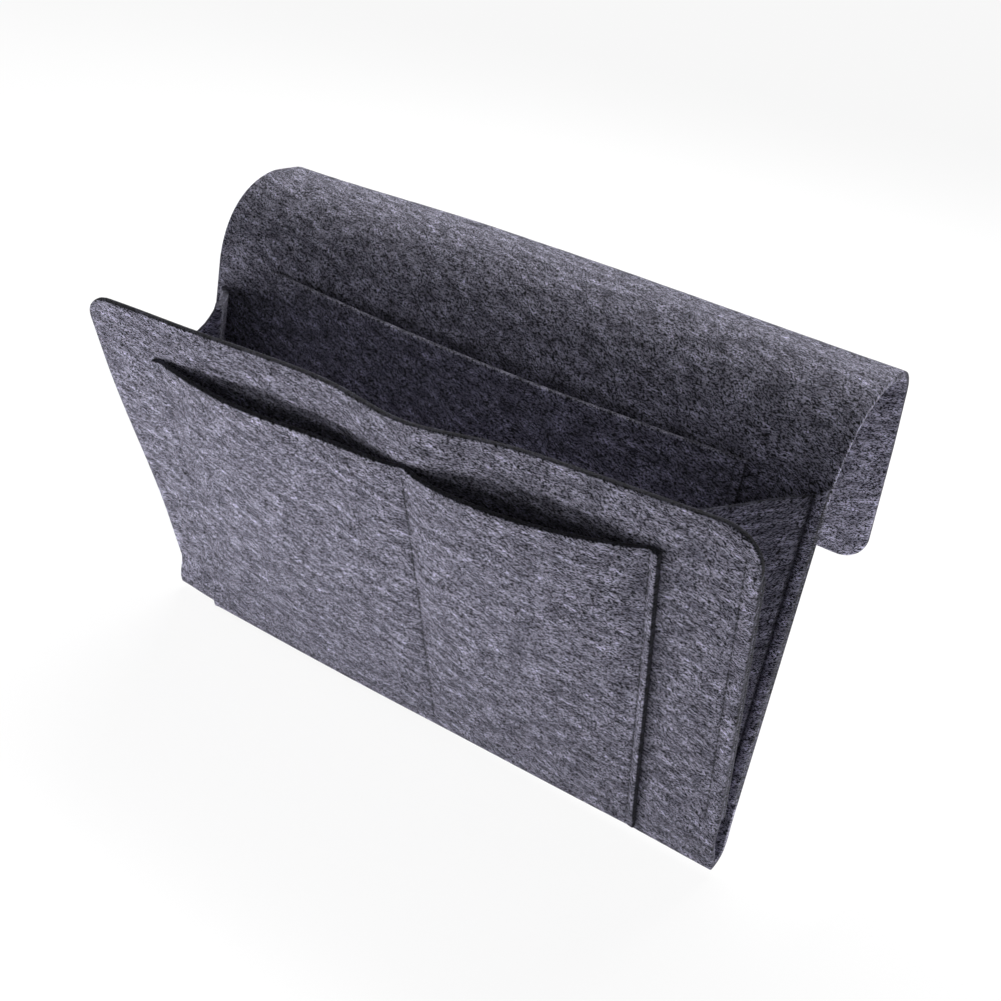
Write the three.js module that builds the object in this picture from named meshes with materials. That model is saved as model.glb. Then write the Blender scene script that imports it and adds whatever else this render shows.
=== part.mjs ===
// Felt armrest caddy: a pouch folded from one long felt strip, with pleated side gussets, two pockets
// on its front, a pocket inside, and a flap that arches over the armrest and hangs down behind it.
// Millimetres, +X to the right, +Y towards the armrest, +Z up.
// The origin is on the rear face of the back panel, where it lies against the armrest.
import * as THREE from "three";

// Felt and sewing thread
const feltThickness = 3;
const layerGap = 0.3; // clearance between layers that lie on each other
const threadWidth = 1;
const threadHeight = 0.6;

// Pouch: the front panel leans out from the bottom fold, a little wider at its left end
const panelWidth = 320;
const frontHeight = 188; // along the front face, from its lower edge
const frontCornerRadius = 18;
const openLeftDegrees = 24; // between the front and the back panel
const openRightDegrees = 16;
const frontRidge = 8; // how far the front stands out along the pockets' divider at its top
const ridgeWidth = 32;
const foldDrop = 3.6; // front panel below the axis of the bottom fold
const foldHeight = 5.5; // axis of the bottom fold above the lowest point
const footRadius = 28; // rear face of the back panel, where it curves forward to the bottom fold
const footTurnDegrees = 37;
const seatHeight = 100; // origin above the lowest point

// Side gussets: a flange on each panel and two leaves that meet in a crease inside the pouch
const gussetFlange = 8;
const gussetBelowTop = 12; // top of the seams below the front panel's top edge
const gussetFoot = 32; // lower end of the gussets above the lowest point
const leafSlackDegrees = 3; // how much a leaf is wider than half the wider opening
const gussetDip = 5; // how far the crease end is cut below a square top edge
const creaseGap = 2.2; // each leaf stops this far from the crease line
const gussetSeamInset = 6.5; // stitching from the panel's edge

// Front pockets: one sheet with a sewn divider
const pocketMarginLeft = 27;
const pocketMarginRight = 38;
const pocketLean = 8; // how far the sheet's left side leans in at its top
const pocketFootRise = 5; // lower edge higher on the right
const pocketBelowTop = 22;
const pocketDivider = 12; // to the right of the middle
const pocketMouthLeft = 9; // how far each mouth bulges open
const pocketMouthRight = 12;
const pocketRise = 0.9; // how steeply a bulge grows towards its mouth
const pocketFullness = 0.85; // below 1 a bulge is steeper beside its seams and flatter between them
const pocketSeamInset = 4;
const seamFlat = 1.5; // felt held flat on each side of a pocket's stitching

// Pocket on the inside of the back panel
const innerMargin = 35;
const innerFoot = 30; // lower edge above the lowest point
const innerAboveGusset = 3;
const innerMouth = 8;

// Flap: bends back over the armrest, runs level for a little, and hangs down behind it
const bendBelowGusset = 3; // the bend starts this far below the gussets' top
const archRadius = 42.5; // at the middle of the felt
const crownLength = 8.5;
const tailBendRadius = 14;
const tailLeanDegrees = 11; // off a plumb line
const tailLength = 89;
const tailCornerRadius = 20;
const flapHingeRise = 2; // bending line of the flap above the inner pocket

// Facets
const bendSteps = 12;
const cornerSteps = 6;
const frontColumns = 26;
const pocketColumns = 10; // between two sewn lines
const sheetRows = 6;

// Places worked out from the sizes above
const half = panelWidth / 2;
const foldX = half - gussetFlange;
const layer = feltThickness + layerGap;
const foldY = -(feltThickness + layer);
const frontLow = -foldDrop;
const frontHigh = frontHeight - foldDrop;
const seamLength = frontHigh - gussetBelowTop;
const seamStart = gussetFoot - foldHeight;
const gussetTop = foldHeight + seamLength;
const leafAngle = radians(Math.max(openLeftDegrees, openRightDegrees) / 2 + leafSlackDegrees);
const pocketLeft = -half + pocketMarginLeft;
const pocketRight = half - pocketMarginRight;
const pocketHigh = frontHigh - pocketBelowTop;
const innerHigh = gussetTop + innerAboveGusset;
const innerHalf = half - innerMargin;
const bendStart = gussetTop - bendBelowGusset;
const archY = archRadius - feltThickness / 2;
const hingeTurn = Math.asin((innerHigh + flapHingeRise - bendStart) / archRadius);
const hingeGapTurn = layerGap / archRadius;
const tailTurn = radians(90 - tailLeanDegrees);
const footTurn = radians(footTurnDegrees);
const footTop = footRadius * Math.sin(footTurn);

const felt = new THREE.MeshStandardMaterial({ color: "#6a6a73", roughness: 0.95, metalness: 0 });
const thread = new THREE.MeshStandardMaterial({ color: "#24242b", roughness: 0.7, metalness: 0 });

const caddy = new THREE.Group();
caddy.name = "armrest_caddy";
caddy.position.z = -seatHeight;

function radians(degrees) {
  return THREE.MathUtils.degToRad(degrees);
}

function addPiece(name, geometry, material) {
  const piece = new THREE.Mesh(geometry, material);
  piece.name = name;
  caddy.add(piece);
}

// Evenly spaced values, both ends included.
function spread(from, to, steps) {
  return Array.from({ length: steps + 1 }, (_, i) => from + ((to - from) * i) / steps);
}

// Opening angle of the pouch at a place across its width.
function openAngle(x) {
  return radians(THREE.MathUtils.lerp(openLeftDegrees, openRightDegrees, (x + half) / panelWidth));
}

// The ridge that the pockets' divider raises in the front, growing towards its top.
function ridgeAt(x, s) {
  const across = Math.exp(-(((x - pocketDivider) / ridgeWidth) ** 2));
  return frontRidge * across * Math.max(0, s / frontHigh);
}

// A point of the front: s runs up from the fold's axis, n runs outwards from it.
function onFront(x, s, n) {
  const angle = openAngle(x);
  const out = n + ridgeAt(x, s);
  return new THREE.Vector3(
    x,
    foldY - s * Math.sin(angle) - out * Math.cos(angle),
    foldHeight + s * Math.cos(angle) - out * Math.sin(angle),
  );
}

// A point of the back: s is the height, n runs forwards from the rear face.
function onBack(x, s, n) {
  return new THREE.Vector3(x, -n, s);
}

// A closed felt sheet: columns across, each from low to high, between an inner and an outer face.
function sheet({ columns, rows, low, high, inner, outer, place }) {
  const points = [];
  for (const face of [inner, outer])
    for (const x of columns)
      for (const s of spread(low(x), high(x), rows)) points.push(...place(x, s, face(x, s)).toArray());
  const along = rows + 1;
  const last = columns.length - 1;
  const at = (side, i, j) => (side * columns.length + i) * along + j;
  const faces = [];
  const quad = (a, b, c, d) => faces.push(a, b, c, a, c, d);
  for (let i = 0; i < last; i++) {
    for (let j = 0; j < rows; j++) {
      quad(at(1, i, j), at(1, i + 1, j), at(1, i + 1, j + 1), at(1, i, j + 1));
      quad(at(0, i, j), at(0, i, j + 1), at(0, i + 1, j + 1), at(0, i + 1, j));
    }
    quad(at(0, i, 0), at(0, i + 1, 0), at(1, i + 1, 0), at(1, i, 0));
    quad(at(0, i, rows), at(1, i, rows), at(1, i + 1, rows), at(0, i + 1, rows));
  }
  for (let j = 0; j < rows; j++) {
    quad(at(0, 0, j), at(1, 0, j), at(1, 0, j + 1), at(0, 0, j + 1));
    quad(at(0, last, j), at(0, last, j + 1), at(1, last, j + 1), at(1, last, j));
  }
  const geometry = new THREE.BufferGeometry();
  geometry.setAttribute("position", new THREE.Float32BufferAttribute(points, 3));
  geometry.setIndex(faces);
  geometry.computeVertexNormals();
  return geometry;
}

// How far a round corner takes the edge of a sheet in, at a place across its width.
function cornerCut(x, radius) {
  const reach = Math.max(0, Math.abs(x) - (half - radius));
  return radius - Math.sqrt(Math.max(0, radius ** 2 - reach ** 2));
}

// Columns of a full-width sheet with two round corners.
function roundedColumns(radius, middleSteps) {
  const corner = spread(0, Math.PI / 2, cornerSteps).map((turn) => half - radius + radius * Math.sin(turn));
  const middle = spread(radius - half, half - radius, middleSteps).slice(1, -1);
  return [...corner.toReversed().map((x) => -x), ...middle, ...corner];
}

// A felt strip as wide as the pouch, from its outline seen from the side.
function sideProfile(outline) {
  const geometry = new THREE.ExtrudeGeometry(outline, {
    depth: panelWidth,
    bevelEnabled: false,
    curveSegments: bendSteps,
  });
  geometry.translate(0, 0, -half);
  const toSide = new THREE.Matrix4().makeBasis(
    new THREE.Vector3(0, 1, 0),
    new THREE.Vector3(0, 0, 1),
    new THREE.Vector3(1, 0, 0),
  );
  return geometry.applyMatrix4(toSide);
}

// A straight row of stitches lying on a felt face at height n.
function stitchRow(name, x, low, high, n, place) {
  const geometry = sheet({
    columns: [x - threadWidth / 2, x + threadWidth / 2],
    rows: sheetRows,
    low: () => low,
    high: () => high,
    inner: () => n,
    outer: () => n + threadHeight,
    place,
  });
  addPiece(name, geometry, thread);
}

function backPanel() {
  const innerArch = archRadius - feltThickness / 2;
  const outerArch = archRadius + feltThickness / 2;
  const outline = new THREE.Shape();
  outline.absarc(-footRadius, footTop, footRadius, -footTurn, 0, false);
  outline.absarc(archY, bendStart, innerArch, Math.PI, Math.PI - hingeTurn, true);
  outline.absarc(archY, bendStart, outerArch, Math.PI - hingeTurn, Math.PI, false);
  outline.absarc(-footRadius, footTop, footRadius - feltThickness, 0, -footTurn, true);
  addPiece("back_panel", sideProfile(outline), felt);
}

function flapArch() {
  const start = Math.PI - hingeTurn - hingeGapTurn;
  const crownX = archY + crownLength;
  const tailBendZ = bendStart + archRadius - tailBendRadius;
  const end = Math.PI / 2 - tailTurn;
  const inset = feltThickness / 2;
  const outline = new THREE.Shape();
  outline.absarc(archY, bendStart, archRadius - inset, start, Math.PI / 2, true);
  outline.absarc(crownX, tailBendZ, tailBendRadius - inset, Math.PI / 2, end, true);
  outline.absarc(crownX, tailBendZ, tailBendRadius + inset, end, Math.PI / 2, false);
  outline.absarc(archY, bendStart, archRadius + inset, Math.PI / 2, start, false);
  addPiece("flap_arch", sideProfile(outline), felt);
}

// A point of the tail: s runs up from its lower edge, n runs from its outer face to its inner face.
function onTail(x, s, n) {
  const reach = tailBendRadius + feltThickness / 2 - n;
  const drop = tailLength - s + layerGap;
  const crownX = archY + crownLength;
  const tailBendZ = bendStart + archRadius - tailBendRadius;
  return new THREE.Vector3(
    x,
    crownX + reach * Math.sin(tailTurn) + drop * Math.cos(tailTurn),
    tailBendZ + reach * Math.cos(tailTurn) - drop * Math.sin(tailTurn),
  );
}

function flapTail() {
  const geometry = sheet({
    columns: roundedColumns(tailCornerRadius, 2),
    rows: 1,
    low: (x) => cornerCut(x, tailCornerRadius),
    high: () => tailLength,
    inner: () => 0,
    outer: () => feltThickness,
    place: onTail,
  });
  addPiece("flap_tail", geometry, felt);
}

function frontPanel() {
  const geometry = sheet({
    columns: roundedColumns(frontCornerRadius, frontColumns),
    rows: sheetRows,
    low: () => frontLow,
    high: (x) => frontHigh - cornerCut(x, frontCornerRadius),
    inner: () => layer,
    outer: () => layer + feltThickness,
    place: onFront,
  });
  addPiece("front_panel", geometry, felt);
}

// Columns between two sewn lines, closer together beside the stitching.
function bulgeColumns(from, to) {
  const middle = (from + to) / 2;
  const reach = (to - from) / 2 - seamFlat;
  return spread(-Math.PI / 2, Math.PI / 2, pocketColumns).map((turn) => middle + reach * Math.sin(turn));
}

// Share of the full bulge between two sewn lines.
function bulgeAcross(x, from, to) {
  const share = (x - from - seamFlat) / (to - from - 2 * seamFlat);
  return Math.sin(Math.PI * THREE.MathUtils.clamp(share, 0, 1)) ** pocketFullness;
}

function bulgeUp(s, low, high) {
  return THREE.MathUtils.clamp((s - low) / (high - low), 0, 1) ** pocketRise;
}

// Lower edge of the front pocket sheet.
function pocketLow(x) {
  return frontLow + (pocketFootRise * (x - pocketLeft)) / (pocketRight - pocketLeft);
}

// A point of the front pocket sheet, which leans in on its left towards the top.
function onPocket(x, s, n) {
  const out = Math.max(0, (pocketDivider - x) / (pocketDivider - pocketLeft));
  const up = (s - frontLow) / (pocketHigh - frontLow);
  return onFront(x + pocketLean * out * up, s, n);
}

function frontPocket() {
  const seamLeft = pocketLeft + pocketSeamInset;
  const seamRight = pocketRight - pocketSeamInset;
  const bulge = (x, s) => {
    const across = x < pocketDivider
      ? pocketMouthLeft * bulgeAcross(x, seamLeft, pocketDivider)
      : pocketMouthRight * bulgeAcross(x, pocketDivider, seamRight);
    return across * bulgeUp(s, frontLow, pocketHigh);
  };
  const geometry = sheet({
    columns: [
      pocketLeft,
      ...bulgeColumns(seamLeft, pocketDivider),
      ...bulgeColumns(pocketDivider, seamRight),
      pocketRight,
    ],
    rows: sheetRows,
    low: pocketLow,
    high: () => pocketHigh,
    inner: (x, s) => 2 * layer + bulge(x, s),
    outer: (x, s) => 2 * layer + feltThickness + bulge(x, s),
    place: onPocket,
  });
  addPiece("front_pocket", geometry, felt);
  const onFelt = 3 * layer;
  const high = pocketHigh - threadWidth;
  const rows = { left: seamLeft, centre: pocketDivider, right: seamRight };
  for (const [place, x] of Object.entries(rows))
    stitchRow(`pocket_stitch_${place}`, x, pocketLow(x) + pocketSeamInset, high, onFelt, onPocket);
}

function innerPocket() {
  const seam = innerHalf - pocketSeamInset;
  const bulge = (x, s) => innerMouth * bulgeAcross(x, -seam, seam) * bulgeUp(s, innerFoot, innerHigh);
  const geometry = sheet({
    columns: [-innerHalf, ...bulgeColumns(-seam, seam), innerHalf],
    rows: sheetRows,
    low: () => innerFoot,
    high: () => innerHigh,
    inner: (x, s) => layer + bulge(x, s),
    outer: (x, s) => layer + feltThickness + bulge(x, s),
    place: onBack,
  });
  addPiece("inner_pocket", geometry, felt);
  const onFelt = 2 * layer;
  const low = innerFoot + pocketSeamInset;
  const high = innerHigh - threadWidth;
  stitchRow("inner_stitch_left", -seam, low, high, onFelt, onBack);
  stitchRow("inner_stitch_right", seam, low, high, onFelt, onBack);
}

// One leaf of a gusset: a flat tapered sheet that hangs on its seam line and ends at the crease.
function gussetLeaf(name, side, isRear) {
  const angle = openAngle(side * foldX);
  const rearLine = new THREE.Vector3(0, 0, 1);
  const frontLine = new THREE.Vector3(0, -Math.sin(angle), Math.cos(angle));
  const tilt = Math.acos(Math.cos(leafAngle) / Math.cos(angle / 2));
  const crease = rearLine.clone().add(frontLine).normalize().multiplyScalar(Math.cos(tilt));
  crease.x = -side * Math.sin(tilt);
  const along = isRear ? rearLine : frontLine;
  const across = crease.clone().addScaledVector(along, -crease.dot(along)).normalize();
  const creaseEnd = seamLength * Math.cos(leafAngle) - gussetDip;
  const outline = new THREE.Shape();
  outline.moveTo(layerGap, seamStart);
  outline.lineTo(seamStart * Math.tan(leafAngle) - creaseGap / Math.cos(leafAngle), seamStart);
  outline.lineTo(
    creaseEnd * Math.sin(leafAngle) - creaseGap * Math.cos(leafAngle),
    creaseEnd * Math.cos(leafAngle) + creaseGap * Math.sin(leafAngle),
  );
  outline.lineTo(layerGap, seamLength);
  const geometry = new THREE.ExtrudeGeometry(outline, { depth: feltThickness, bevelEnabled: false });
  const facesPanel = isRear === side > 0;
  if (!facesPanel) geometry.translate(0, 0, -feltThickness);
  const toPlace = new THREE.Matrix4().makeBasis(across, along, across.clone().cross(along));
  toPlace.setPosition(side * foldX, foldY, foldHeight);
  addPiece(name, geometry.applyMatrix4(toPlace), felt);
}

function gusset(sideName, side) {
  const columns = side < 0 ? [-half, -foldX] : [foldX, half];
  const rearFlange = sheet({
    columns,
    rows: 1,
    low: () => gussetFoot,
    high: () => gussetTop,
    inner: () => layer,
    outer: () => layer + feltThickness,
    place: onBack,
  });
  const frontFlange = sheet({
    columns,
    rows: sheetRows,
    low: () => seamStart,
    high: () => seamLength,
    inner: () => 0,
    outer: () => feltThickness,
    place: onFront,
  });
  addPiece(`gusset_${sideName}_rear_flange`, rearFlange, felt);
  addPiece(`gusset_${sideName}_front_flange`, frontFlange, felt);
  gussetLeaf(`gusset_${sideName}_rear_leaf`, side, true);
  gussetLeaf(`gusset_${sideName}_front_leaf`, side, false);
  const seamX = side * (half - gussetSeamInset);
  stitchRow(`front_stitch_${sideName}`, seamX, seamStart, seamLength, 2 * layer, onFront);
  stitchRow(`rear_stitch_${sideName}`, seamX, gussetFoot, gussetTop, 2 * layer, onBack);
}

backPanel();
flapArch();
flapTail();
frontPanel();
frontPocket();
innerPocket();
gusset("left", -1);
gusset("right", 1);

export default caddy;
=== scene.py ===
"""Felt armrest caddy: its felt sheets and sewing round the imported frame, a floor, lamps and a camera."""
import math

import bpy
import numpy as np
from mathutils import Matrix, Vector


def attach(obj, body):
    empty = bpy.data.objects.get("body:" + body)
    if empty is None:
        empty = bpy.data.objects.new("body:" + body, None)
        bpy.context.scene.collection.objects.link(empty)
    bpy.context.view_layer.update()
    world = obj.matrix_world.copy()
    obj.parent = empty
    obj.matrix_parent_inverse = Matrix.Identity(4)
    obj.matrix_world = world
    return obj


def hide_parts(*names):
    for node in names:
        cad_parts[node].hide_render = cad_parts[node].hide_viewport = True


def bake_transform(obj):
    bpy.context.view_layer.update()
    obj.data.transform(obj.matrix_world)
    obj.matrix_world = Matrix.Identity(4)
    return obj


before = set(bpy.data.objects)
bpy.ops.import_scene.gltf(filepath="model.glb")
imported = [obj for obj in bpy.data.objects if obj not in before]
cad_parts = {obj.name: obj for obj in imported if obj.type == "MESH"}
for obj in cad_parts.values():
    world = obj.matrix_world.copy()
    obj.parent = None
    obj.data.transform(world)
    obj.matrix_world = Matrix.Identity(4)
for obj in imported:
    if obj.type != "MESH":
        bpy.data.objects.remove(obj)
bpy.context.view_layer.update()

# Sizes in millimetres, from the foot of the pouch, as in the part
SEAT = 100.0
FELT = 3.0
GAP = 0.05
HALF = 160.0
FOLD_X = 152.0
FOLD_Y = -6.3
FOLD_Z = 5.5
OPEN_LEFT = 24.0
OPEN_RIGHT = 16.0
FRONT_LOW = -3.6
FRONT_HIGH = 184.4
FRONT_CORNERS = (13.0, 18.0)
RIDGE = 8.0
RIDGE_WIDTH = 32.0
DIVIDER = 12.0
PANEL_OUT = 6.3
PANEL_IN = 3.3
FOOT_TOP = 16.8
POCKET_LEFT = -133.0
POCKET_RIGHT = 122.0
POCKET_HIGH = 162.4
POCKET_LEAN = 8.0
POCKET_SEAMS = (-129.0, 12.0, 118.0)
MOUTH_LEFT = 9.0
MOUTH_RIGHT = 12.0
INNER_HALF = 125.0
INNER_LOW = 30.0
INNER_HIGH = 180.9
INNER_SEAM = 121.0
INNER_MOUTH = 8.0
SEAM_X = 153.5
SEAM_LOW = 26.5
SEAM_HIGH = 172.4
REAR_SEAM = (34, 160)
REAR_SEAM_OUT = 6.3
SEAM_FOOT = 4
SEAM_MOUTH = 1
ARCH_Y = 41.0
ARCH_Z = 174.9
ARCH_R = 42.5
CROWN_END = 49.5
CROWN_JOIN = 45.25
REAR_BEND_R = 14.0
TAIL_TURN = math.radians(79)
TAIL_LENGTH = 88.4
TAIL_CORNER = 13.0
FLANGE = 8.0
FOLD_SLIP = 3.0
LEAF_ANGLE = math.radians(15)
CREASE_LOW = 27.44
CREASE_HIGH = 161.5

# Give in the felt: sizes, and the places between which each starts or ends
FRONT_RISE = 1.2
FRONT_RISE_FROM = (90, 150)
WAVE_SIDE = (8, 45)
WAVE_FOOT = (5, 60)
WAVE_BROAD = 0.7
WAVE_BROAD_SIZE = 75
WAVE_FINE = 0.25
WAVE_FINE_SIZE = 31
FOLD_SAG = 1.7
SAG_MORE = 1.7
SAG_X = -45
SAG_WIDTH = 90
HEM_PULL = 5.2
HEM_PULL_X = (100, 158)
HEM_PULL_START = (-3, 14)
HEM_PULL_END = (44, 150)
HEM_DROP = 2.0
HEM_DROP_START = (-160, -137)
HEM_DROP_END = (-133, -122)
FOOT_OPEN = 2.8
FOOT_OPEN_X = (118, 158)
FOOT_OPEN_AT = 15
FOOT_OPEN_REACH = 9
FOOT_BACK = 2.2
FOOT_BACK_X = (110, 158)
FOOT_BEND = (9.0, 0.4)
FOOT_HEEL = (0.6, 1.6)
FOLD_ROUND = 1.1
POCKET_FOOT = 0.2
POCKET_FOOT_RISE = 4.4
POCKET_EDGE_SWELL = 1.2
SWELL_FOOT = (1, 12)
SWELL_FULL = 1
EDGE_LIFT_LEFT = 0.3
EDGE_LIFT_RIGHT = 0.4
BULGE_MARGIN = 1.5
BULGE_ACROSS_POWER = 0.85
BULGE_UP_POWER = 0.9
RUFFLE_FULL_AT = 4
POCKET_RUFFLE = 0.6
POCKET_RUFFLE_SIZE = 42
INNER_RUFFLE = 0.5
INNER_RUFFLE_SIZE = 50
ARCH_EASE = (5, 40)
CROWN_EASE = 12
TAIL_EASE = (-5, 30)
LEAN_EASE = 4
ARCH_WAVE = 0.8
ARCH_WAVE_SIZE = 60
TAIL_BOW = 1.3
TAIL_WAVE = 0.9
TAIL_WAVE_SIZE = 55
LEAN_X = (40, 160)
LEAN_FORWARD = 3.5
LEAN_DOWN = 2.0
CROWN_RISE = 0.7
CROWN_RISE_X = 25
CROWN_RISE_WIDTH = 75
LEAF_SWAY = 1.1
LEAF_SWAY_SIZE = 38
SWAY_ACROSS = 40
SWAY_APART = 90
SWAY_POWER = 1.5
CREASE_PULL = 0.5
CREASE_TURN = math.radians(84)
CREASE_HOLLOW = 0.15
CREASE_EASE = 0.16
FOLD_HOLLOW = 0.18
FACE_START = 0.7

# Fine form of the felt
EDGE_ROUND = 0.75
EDGE_OFFSETS = (0, 0.07, 0.2, 0.4, 0.7, 1.1, 1.8, 2.9)
SEAM_OFFSETS = (-2.2, -1.5, -1.0, -0.5, 0, 0.5, 1.0, 1.5, 2.2)
NAP = 0.05
NAP_FROM = (0.3, 3)
NAP_OUT = ((1.9, 5), (4.3, 6))
NAP_IN = ((2.1, 8), (4.7, 9))
FRAY = 0.14
FRAY_VARIES = 0.07
FRAY_SIZE = 1.7
FRAY_MIX = (1.7, 1.3)
SHARP = math.radians(62)
GROOVE = 0.45
GROOVE_WIDTH = 0.85
GROOVE_FADE = 1.5
DIMPLE = 0.2
FAINT = 0.6
INSIDE_PRESS = 0.6
WELT = 0.15
WELT_X = 157
WELT_WIDTH = 1.6
WELT_FROM = (4, 20)
REAR_PRESS = 1.1
REAR_PRESS_AT = 0.4
REAR_PRESS_WIDTH = 1.0
REAR_WELT = 0.3
REAR_WELT_AT = 2.2
REAR_WELT_WIDTH = 1.4
STITCH_PITCH = 3.1
STITCH_LENGTH = 2.6
THREAD_R = 0.27
BURIED = 0.17
STITCH_PROUD = 0.10
STITCH_SUNK = 0.75
STITCH_JITTER = (-0.06, 0.06)
STITCH_SLANT = (0.05, 0.16)
STITCH_SINK = (-0.04, 0.05)
STITCH_END_DIP = 0.5
STITCH_END_THIN = 0.45
STITCH_RINGS = 7
STITCH_SIDES = 8
FRONT_SEAM_SHORT = 16
FLANGE_SEAM_SHORT = 14
INNER_SEAM_SHORT = 5
POCKET_SEAM_SHORT = 6

# How finely the sheets are divided: steps and spans in millimetres, then numbers of rows and columns
STEP = 2.8
GUSSET_STEP = 3.2
FLANGE_STEP = 1.2
LEAST_STEP = 0.03
FIRST_ROW = 2.0
CLEAR_OF_FIXED = 0.9
FLANGE_END = 0.4
FRONT_GRID = 178
TAIL_GRID = 85
POCKET_GRID = 164
FAR_FROM_TOP = -50.0
FOOT_ROWS = 12
FOLD_ROWS = 15
CURVE_POINTS = 400
PAST_MEETING = 12
LANE_FOOT = 60
LANE_FACE = 40
CORNER_POINTS = 16
BACK_ROWS = 54
ARCH_ROWS = 34
CROWN_ROWS = 3
BEND_ROWS = 15
FOLD_COLUMNS = 8
LEAF_SHARES = np.concatenate([[0.03, 0.06, 0.1], np.linspace(0.15, 0.9, 11), [0.94, 0.97]])
CREASE_COLUMNS = 9

# Lengths of the texture in millimetres, and tones of the felt and the thread
FAR_SIDE = np.array((0.0, 640.0))
RIM_HALF = 0.8
POCKET_AT = 400
INNER_AT = 800
GUSSET_AT = 1200
GUSSET_RIGHT_AT = 300
GUSSET_REAR_AT = 200
LEAF_START = 1
LEAF_WIDTH = 42
CREASE_WIDTH = 3
THREAD_ROUND = 1.7
THREAD_END = (0.2, 0.4)
CUT_COLUMNS = 5
# Reach of the painted highlight along cut edges
HIGHLIGHT_REACH = 0.7
# Reach of the painted shade on cut edges
EDGE_SHADE_REACH = 0.14
# Painted shade on the back's right cut edge low down, turning to a painted highlight higher up on the arch
BACK_EDGE_SHADE = 0.6
BACK_EDGE_HIGHLIGHT = -0.25
BACK_EDGE_FROM = (150, 185)
FELT_STOPS = 1.92
FELT_TONE = 0.62
FELT_SPREAD = 0.105
FELT_RANGE = (0.006, 0.58)
DRIFT = 3.0
FIBRE_STEP = (31.7, 11.9)
FIBRE_SKEW = 2.3
TINT_FROM = (0.05, 0.4)
TINT_DARK = (0.94, 0.92, 1.27, 1)
TINT_LIGHT = (0.985, 0.955, 1.22, 1)
THREAD_DARK = (0.014, 0.014, 0.020, 1)
THREAD_LIGHT = (0.050, 0.049, 0.062, 1)
THREAD_SPECK = (0.06, 0.058, 0.075, 1)

# Sockets of a node that mixes two colours
MIX_A = 6
MIX_B = 7
MIX_RESULT = 2

# Floor, in metres
FLOOR_Z = -0.1056
FLOOR_SIZE = 40

# Seeded values that the noise runs between
LATTICE_SIZE = 64
LATTICE = np.random.default_rng(11).uniform(-1, 1, (LATTICE_SIZE, LATTICE_SIZE))
SEED_SHIFT = (17.31, 5.73)


def noise(u, v, size, seed):
    """Smooth seeded noise from -1 to 1 over a sheet."""
    a = np.asarray(u, float) / size + SEED_SHIFT[0] * seed
    b = np.asarray(v, float) / size + SEED_SHIFT[1] * seed
    i, j = np.floor(a).astype(int), np.floor(b).astype(int)
    fa, fb = a - i, b - j
    fa, fb = fa * fa * (3 - 2 * fa), fb * fb * (3 - 2 * fb)

    def at(p, q):
        return LATTICE[p % LATTICE_SIZE, q % LATTICE_SIZE]

    low = at(i, j) * (1 - fa) + at(i + 1, j) * fa
    high = at(i, j + 1) * (1 - fa) + at(i + 1, j + 1) * fa
    return low * (1 - fb) + high * fb


def ramp(x, low, high):
    """A smooth step from 0 at low to 1 at high."""
    t = np.clip((x - low) / (high - low), 0, 1)
    return t * t * (3 - 2 * t)


def hump(x, middle, width):
    """A smooth hump of height 1."""
    return np.exp(-(((x - middle) / width) ** 2))


def unit(v):
    v = np.asarray(v, float)
    return v / np.maximum(np.linalg.norm(v, axis=-1, keepdims=True), 1e-12)


def row(p):
    """From millimetres above the foot to metres in the shared frame."""
    return (np.asarray(p, float) - (0, 0, SEAT)) / 1000


def open_angle(x):
    return np.radians(OPEN_LEFT + (OPEN_RIGHT - OPEN_LEFT) * (x + HALF) / (2 * HALF))


def wave(x, s):
    """Slow unevenness of the front, none at its sewn sides and at the fold."""
    inside = ramp(HALF - np.abs(x), *WAVE_SIDE) * ramp(s, *WAVE_FOOT)
    broad = WAVE_BROAD * noise(x, s, WAVE_BROAD_SIZE, seed=1)
    fine = WAVE_FINE * noise(x, s, WAVE_FINE_SIZE, seed=2)
    return inside * (broad + fine)


def hem_pull(x, s):
    """How far the lower left of the front is drawn back, where the gusset's foot holds it."""
    return HEM_PULL * ramp(-x, *HEM_PULL_X) * ramp(s, *HEM_PULL_START) * (1 - ramp(s, *HEM_PULL_END))


def foot_open(x, s):
    """How far the right end of the front stands out just above the fold, where no seam holds it."""
    return FOOT_OPEN * ramp(x, *FOOT_OPEN_X) * hump(s, FOOT_OPEN_AT, FOOT_OPEN_REACH)


def on_front(x, s, n):
    """A point of the front: s up from the fold's axis, n outwards from it."""
    a = open_angle(x)
    ridge = RIDGE * hump(x, DIVIDER, RIDGE_WIDTH) * np.maximum(0, s / FRONT_HIGH)
    out = n + ridge + wave(x, s) + foot_open(x, s)
    y = FOLD_Y - s * np.sin(a) - out * np.cos(a) + hem_pull(x, s)
    z = FOLD_Z + s * np.cos(a) - out * np.sin(a)
    return np.stack(np.broadcast_arrays(x, y, z), -1).astype(float)


def on_back(x, s, n):
    """A point of the back: s is the height, n forwards from the rear face."""
    return np.stack(np.broadcast_arrays(x, -n + 0 * s, s), -1).astype(float)


def on_pocket(x, s, n):
    """A point of the front pocket, whose left part spreads a little towards its mouth."""
    out = np.maximum(0, (DIVIDER - x) / (DIVIDER - POCKET_LEFT))
    up = (s - FRONT_LOW) / (POCKET_HIGH - FRONT_LOW)
    return on_front(x + POCKET_LEAN * out * up, s, n)


def bulge_across(x, low, high):
    """How far a pocket stands out between two seams, as a share of its most."""
    share = np.clip((x - low - BULGE_MARGIN) / (high - low - 2 * BULGE_MARGIN), 0, 1)
    return np.sin(np.pi * share) ** BULGE_ACROSS_POWER


def fold_line(x):
    """Lower edge of the front behind the pocket, which hangs lowest a little left of the middle."""
    return FRONT_LOW - FOLD_SAG - SAG_MORE * hump(x, SAG_X, SAG_WIDTH)


def fold_low(x):
    """Lower edge of the front, drawn down where the pocket's left corner is."""
    return fold_line(x) - HEM_DROP * ramp(x, *HEM_DROP_START) * (1 - ramp(x, *HEM_DROP_END))


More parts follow.
